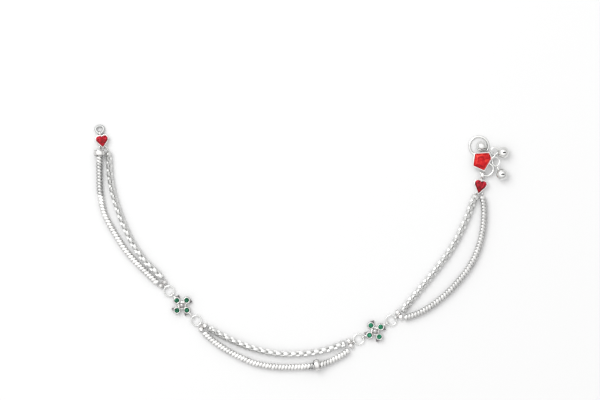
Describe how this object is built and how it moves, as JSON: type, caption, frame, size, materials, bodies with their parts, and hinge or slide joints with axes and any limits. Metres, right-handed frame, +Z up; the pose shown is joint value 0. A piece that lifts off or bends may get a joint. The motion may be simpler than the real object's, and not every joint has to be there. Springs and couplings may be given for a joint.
{
  "type": "payal anklet",
  "caption": "Silver payal anklet of doubled snake and box chain, with green stone flowers, red hearts, an S-shaped hook and small bells, lying open.",
  "frame": {"origin": "middle of the anklet's outline on the surface it lies on", "axes": "+X runs from the plain end to the hook end, +Y towards the ankle's side of the curve, +Z up"},
  "size_m": [0.1659, 0.0982, 0.0047],
  "materials": {
    "snake_chain_silver": "polished",
    "box_chain_silver": "polished",
    "bell_silver": "polished",
    "wire_silver": "polished",
    "cast_silver": "polished",
    "green_stone": "polished",
    "heart_red_stone": "polished",
    "bright_red_stone": "polished"
  },
  "bodies": {
    "root": {"end_ring": "wire_silver", "heart_setting_left": "cast_silver", "heart_setting_right": "cast_silver", "rondelle_left": "cast_silver", "rondelle_middle": "cast_silver", "snake_chain_left": "snake_chain_silver", "snake_chain_middle": "snake_chain_silver", "snake_chain_right": "snake_chain_silver", "box_chain_left": "box_chain_silver", "box_chain_middle": "box_chain_silver", "box_chain_right": "box_chain_silver", "strand_connector_1": "cast_silver", "strand_connector_2": "cast_silver", "strand_connector_3": "cast_silver", "strand_connector_4": "cast_silver", "jump_ring_1": "wire_silver", "jump_ring_2": "wire_silver", "jump_ring_3": "wire_silver", "jump_ring_4": "wire_silver", "flower_setting_left": "cast_silver", "flower_setting_right": "cast_silver", "s_hook": "wire_silver", "bell_1": "bell_silver", "bell_2": "bell_silver", "bell_3": "bell_silver", "flower_stone_left_1": "green_stone", "flower_stone_left_2": "green_stone", "flower_stone_left_3": "green_stone", "flower_stone_left_4": "green_stone", "heart_stone_left": "heart_red_stone", "flower_stone_right_1": "green_stone", "flower_stone_right_2": "green_stone", "flower_stone_right_3": "green_stone", "flower_stone_right_4": "green_stone", "heart_stone_right": "heart_red_stone", "pentagon_stone": "bright_red_stone"}
  },
  "joints": []
}
